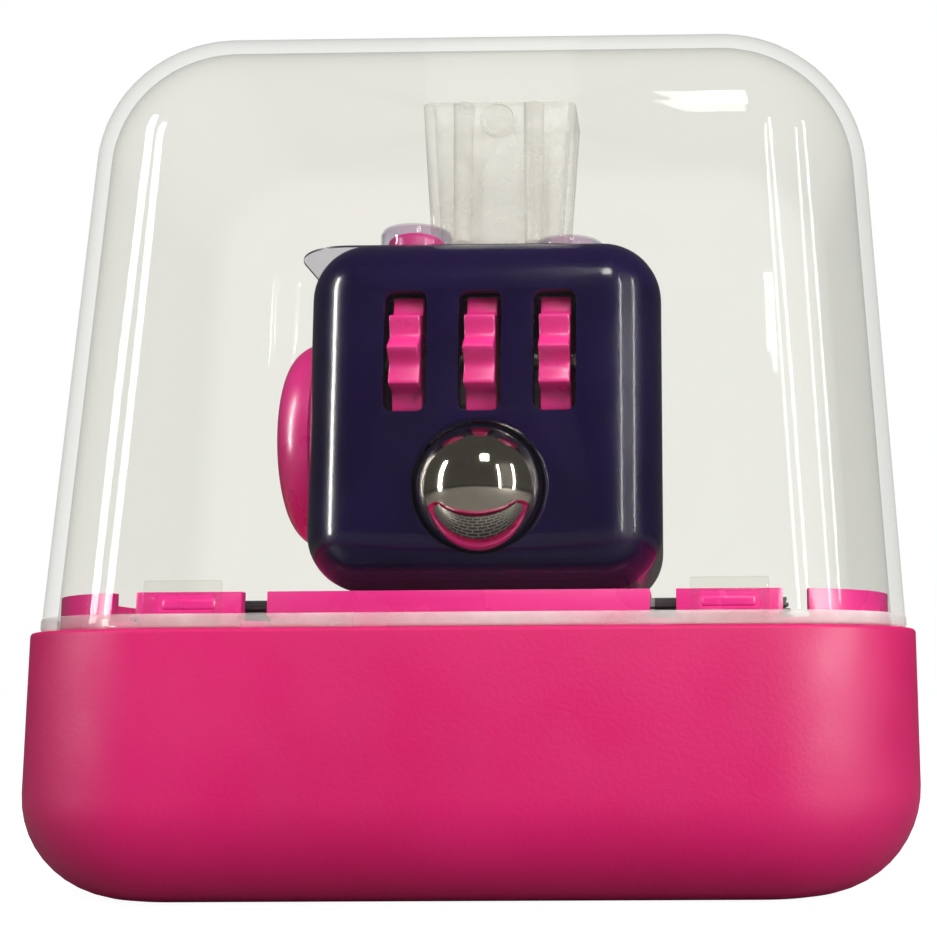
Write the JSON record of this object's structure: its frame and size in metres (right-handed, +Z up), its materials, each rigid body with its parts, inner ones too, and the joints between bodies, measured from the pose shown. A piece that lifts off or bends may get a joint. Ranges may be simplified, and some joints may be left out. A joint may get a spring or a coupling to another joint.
{
  "type": "fidget cube",
  "caption": "Small desk fidget cube with rollers, ball, dial, buttons, rocker and thumb slider, standing in a clear-lidded display case.",
  "frame": {"origin": "centre of the case's underside", "axes": "+Z up, front of the case and the roller face at -Y, spin dial at -X"},
  "size_m": [0.077, 0.059, 0.0776],
  "materials": {
    "case_pink": "satin-matte fine texture",
    "clear_plastic": "clear polished",
    "clear_film": "clear thin film",
    "paper": "printed paper",
    "purple_plastic": "glossy",
    "control_pink": "satin gloss",
    "white_plastic": "moulded",
    "steel": "plain",
    "chrome": "polished",
    "silicone": "matte"
  },
  "bodies": {
    "case": {"case_base": "case_pink", "case_deck": "case_pink", "leaflet": "paper"},
    "lid": {"clear_lid": "clear_plastic"},
    "film": {"cover_film": "clear_film"},
    "cube": {"cube_shell": "purple_plastic", "breathe_panel": "purple_plastic", "mechanism_frame": "white_plastic", "frame_screw_left": "steel", "frame_screw_right": "steel", "roller_axle": "steel", "detent_spring": "steel", "ball_spring": "steel", "button_board": "white_plastic", "return_ring": "silicone", "rocker_pin": "steel", "rocker_bracket": "white_plastic", "rocker_plunger": "steel", "rocker_spring": "steel", "snap_dome_1": "steel", "snap_dome_2": "silicone", "snap_dome_3": "steel", "snap_dome_4": "silicone", "snap_dome_5": "steel"},
    "left_roller": {"roller_left": "control_pink"},
    "middle_roller": {"roller_middle": "control_pink"},
    "right_roller": {"roller_right": "control_pink"},
    "cup": {"ball_cup": "white_plastic"},
    "ball": {"roll_ball": "chrome"},
    "dial": {"spin_dial": "control_pink", "dial_clip": "steel"},
    "glide_slider": {"glide_washer": "white_plastic"},
    "glide_stick": {"glide_disc": "control_pink", "glide_clip": "steel"},
    "rocker": {"flip_rocker": "control_pink"},
    "button_1": {"click_button_1": "control_pink"},
    "button_2": {"click_button_2": "control_pink"},
    "button_3": {"click_button_3": "control_pink"},
    "button_4": {"click_button_4": "control_pink"},
    "button_5": {"click_button_5": "control_pink"}
  },
  "joints": [
    {"name": "lid_lift", "type": "slide", "parent": "case", "child": "lid", "axis": [0, 0, 1], "range_m": [0, 0.09]},
    {"name": "film_lift", "type": "slide", "parent": "case", "child": "film", "axis": [0, 0, 1], "range_m": [0, 0.0405]},
    {"name": "cube_lift", "type": "slide", "parent": "case", "child": "cube", "axis": [0, 0, 1], "range_m": [0, 0.018]},
    {"name": "roll_left", "type": "hinge", "parent": "cube", "child": "left_roller", "pos_m": [-0.0068, -0.0116, 0.0477], "axis": [1, 0, 0], "continuous": true},
    {"name": "roll_middle", "type": "hinge", "parent": "cube", "child": "middle_roller", "pos_m": [0, -0.0116, 0.0477], "axis": [1, 0, 0], "continuous": true},
    {"name": "roll_right", "type": "hinge", "parent": "cube", "child": "right_roller", "pos_m": [0.0068, -0.0116, 0.0477], "axis": [1, 0, 0], "continuous": true},
    {"name": "ball_press", "type": "slide", "parent": "cube", "child": "cup", "axis": [0, 1, 0], "range_m": [0, 0.001], "stiffness_N_per_m": 1000, "springref_m": -0.0008, "deforming": ["ball_spring"]},
    {"name": "ball_roll", "type": "hinge", "parent": "cup", "child": "ball", "pos_m": [0, -0.0143, 0.0352], "axis": [1, 0, 0], "continuous": true},
    {"name": "dial_spin", "type": "hinge", "parent": "cube", "child": "dial", "pos_m": [-0.0165, 0, 0.0418], "axis": [-1, 0, 0], "continuous": true},
    {"name": "glide_across", "type": "slide", "parent": "cube", "child": "glide_slider", "axis": [1, 0, 0], "range_m": [-0.0016, 0.0016], "stiffness_N_per_m": 300, "deforming": ["return_ring"]},
    {"name": "glide_up", "type": "slide", "parent": "glide_slider", "child": "glide_stick", "axis": [0, 0, 1], "range_m": [-0.0016, 0.0016], "stiffness_N_per_m": 300},
    {"name": "flip_tilt", "type": "hinge", "parent": "cube", "child": "rocker", "pos_m": [0, 0, 0.0287], "axis": [0, 1, 0], "range_deg": [0, 20]},
    {"name": "click_1", "type": "slide", "parent": "cube", "child": "button_1", "axis": [0, 0, -1], "range_m": [0, 0.0011], "stiffness_N_per_m": 800, "springref_m": -0.0004, "deforming": ["snap_dome_1"]},
    {"name": "click_2", "type": "slide", "parent": "cube", "child": "button_2", "axis": [0, 0, -1], "range_m": [0, 0.0011], "stiffness_N_per_m": 800, "springref_m": -0.0004, "deforming": ["snap_dome_2"]},
    {"name": "click_3", "type": "slide", "parent": "cube", "child": "button_3", "axis": [0, 0, -1], "range_m": [0, 0.0011], "stiffness_N_per_m": 800, "springref_m": -0.0004, "deforming": ["snap_dome_3"]},
    {"name": "click_4", "type": "slide", "parent": "cube", "child": "button_4", "axis": [0, 0, -1], "range_m": [0, 0.0011], "stiffness_N_per_m": 800, "springref_m": -0.0004, "deforming": ["snap_dome_4"]},
    {"name": "click_5", "type": "slide", "parent": "cube", "child": "button_5", "axis": [0, 0, -1], "range_m": [0, 0.0011], "stiffness_N_per_m": 800, "springref_m": -0.0004, "deforming": ["snap_dome_5"]}
  ],
  "couplings": [
    {"joint": "film_lift", "follows": "lid_lift", "ratio": 0.45},
    {"joint": "cube_lift", "follows": "lid_lift", "ratio": 0.2}
  ]
}
